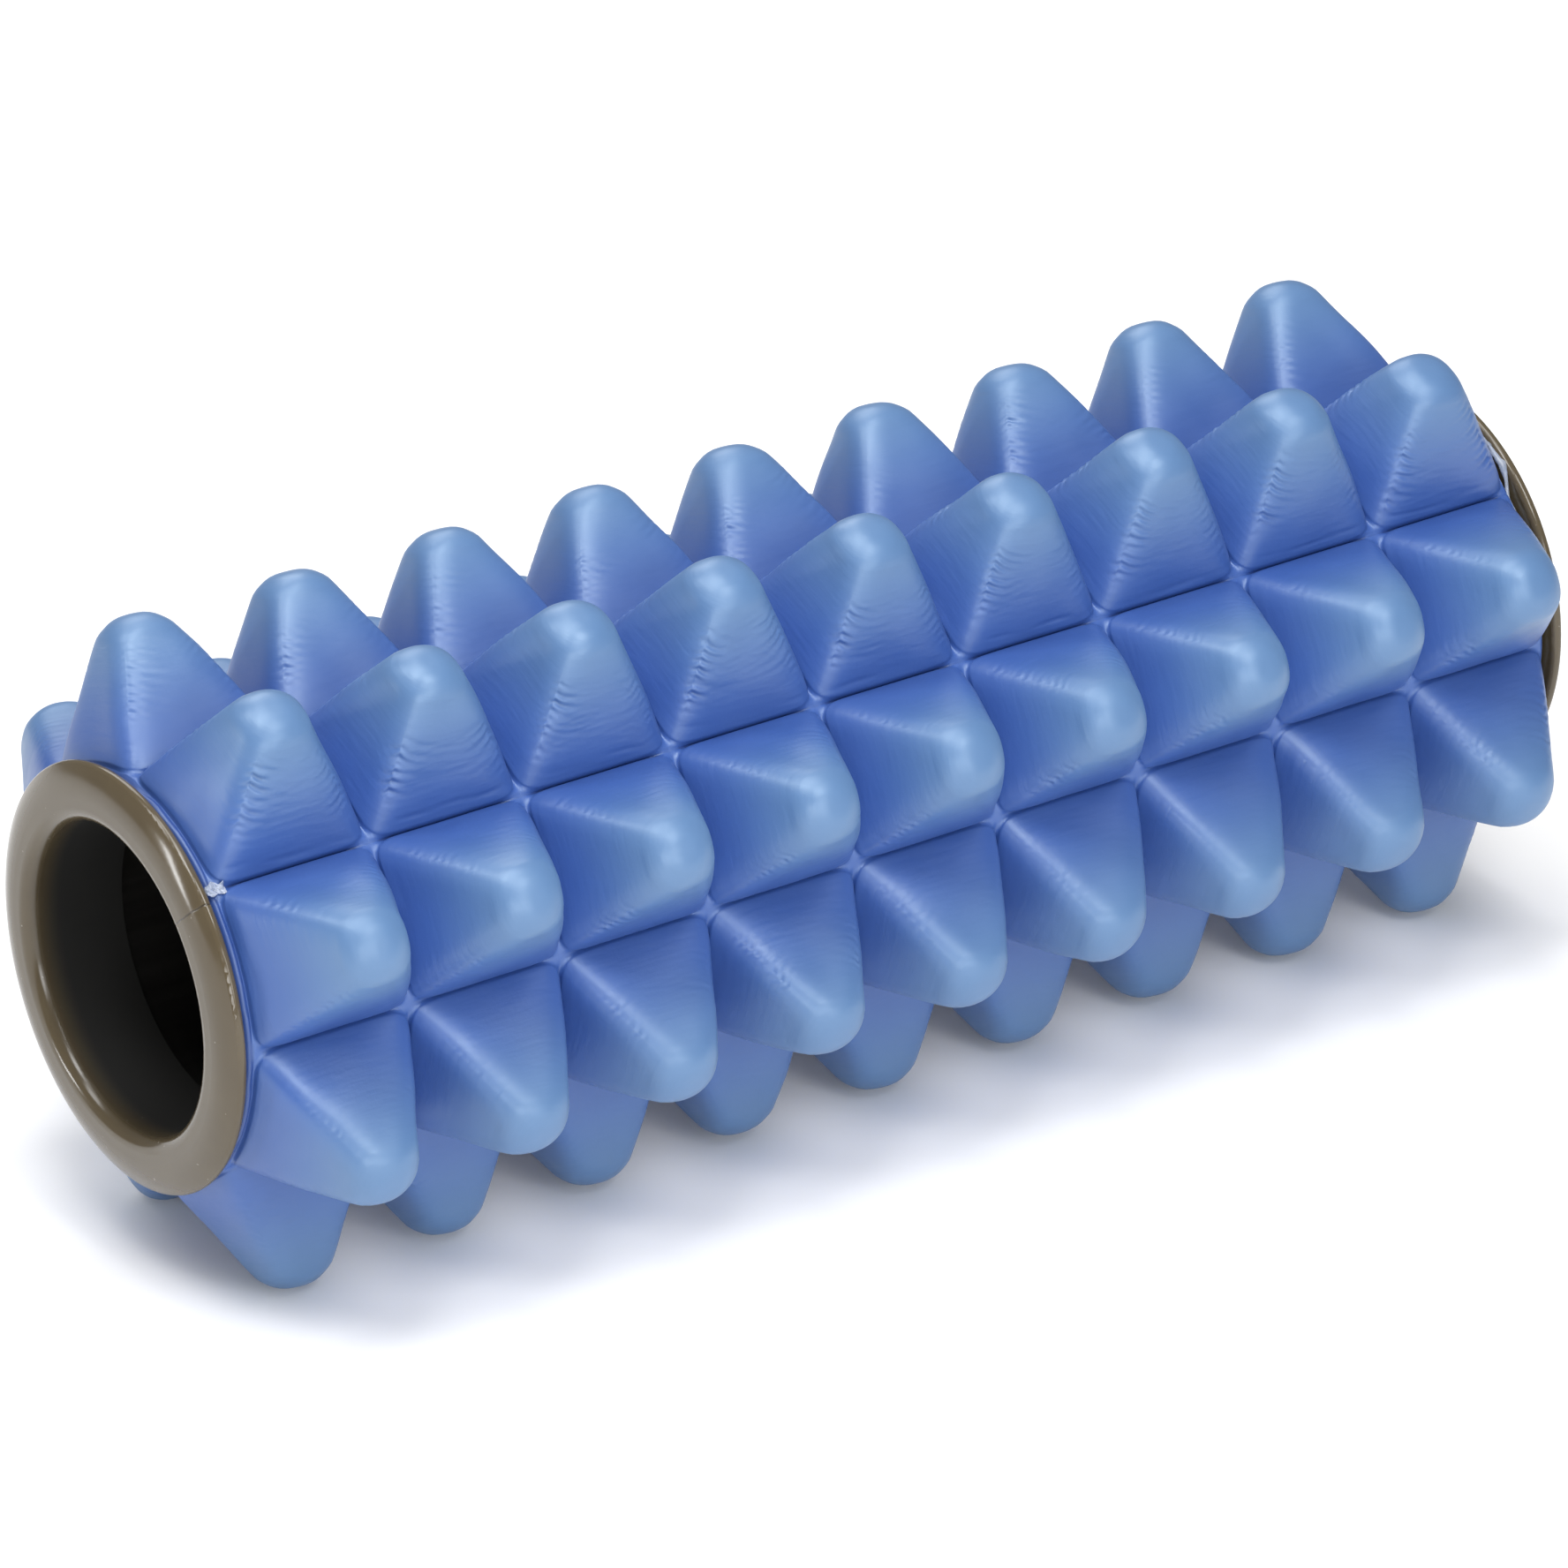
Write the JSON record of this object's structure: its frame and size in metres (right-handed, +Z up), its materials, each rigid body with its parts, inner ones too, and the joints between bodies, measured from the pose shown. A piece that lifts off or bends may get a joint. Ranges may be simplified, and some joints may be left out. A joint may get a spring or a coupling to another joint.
{
  "type": "foam roller",
  "caption": "Hollow-core massage roller with a foam sleeve of blunt pyramid spikes and a domed plastic ring at each end.",
  "frame": {"origin": "middle of the roller, on its own axis", "axes": "+X along the roller's axis towards the right-hand ring, +Z up, with two rows of spikes straddling straight down"},
  "size_m": [0.3324, 0.13, 0.13],
  "materials": {
    "core_plastic": "extruded dark plastic, satin inside",
    "blue_foam": "moulded closed-cell foam with a satin skin and fine wrinkles",
    "ring_plastic": "moulded warm grey plastic, semi-gloss"
  },
  "bodies": {
    "root": {"core_tube": "core_plastic", "foam_sleeve": "blue_foam", "end_ring_left": "ring_plastic", "end_ring_right": "ring_plastic"}
  },
  "joints": []
}
